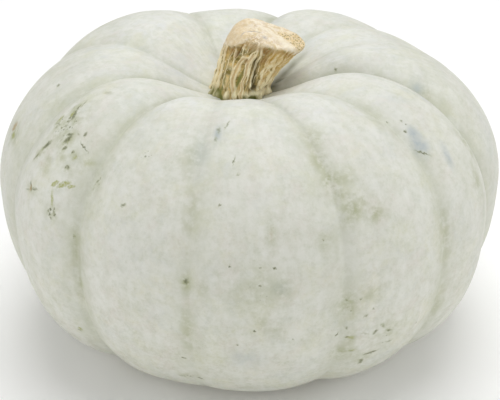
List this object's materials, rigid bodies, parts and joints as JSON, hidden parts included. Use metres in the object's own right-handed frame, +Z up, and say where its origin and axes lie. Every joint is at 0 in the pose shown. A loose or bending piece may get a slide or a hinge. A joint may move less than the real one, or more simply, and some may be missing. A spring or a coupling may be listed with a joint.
{
  "type": "winter squash pumpkin",
  "caption": "Whole pale grey-green ribbed pumpkin with a short, leaning, corky cut stem, resting on its blossom end.",
  "frame": {"origin": "on the floor, under the middle of the whole object's box", "axes": "+Z up out of the crown, -Y the front that the picture shows, +X to the right, the way the stem leans"},
  "size_m": [0.2773, 0.2665, 0.1799],
  "materials": {
    "skin": "waxy bloom, matte",
    "cork": "dry, furrowed cork"
  },
  "bodies": {
    "root": {"fruit": "skin", "stem": "cork"}
  },
  "joints": []
}
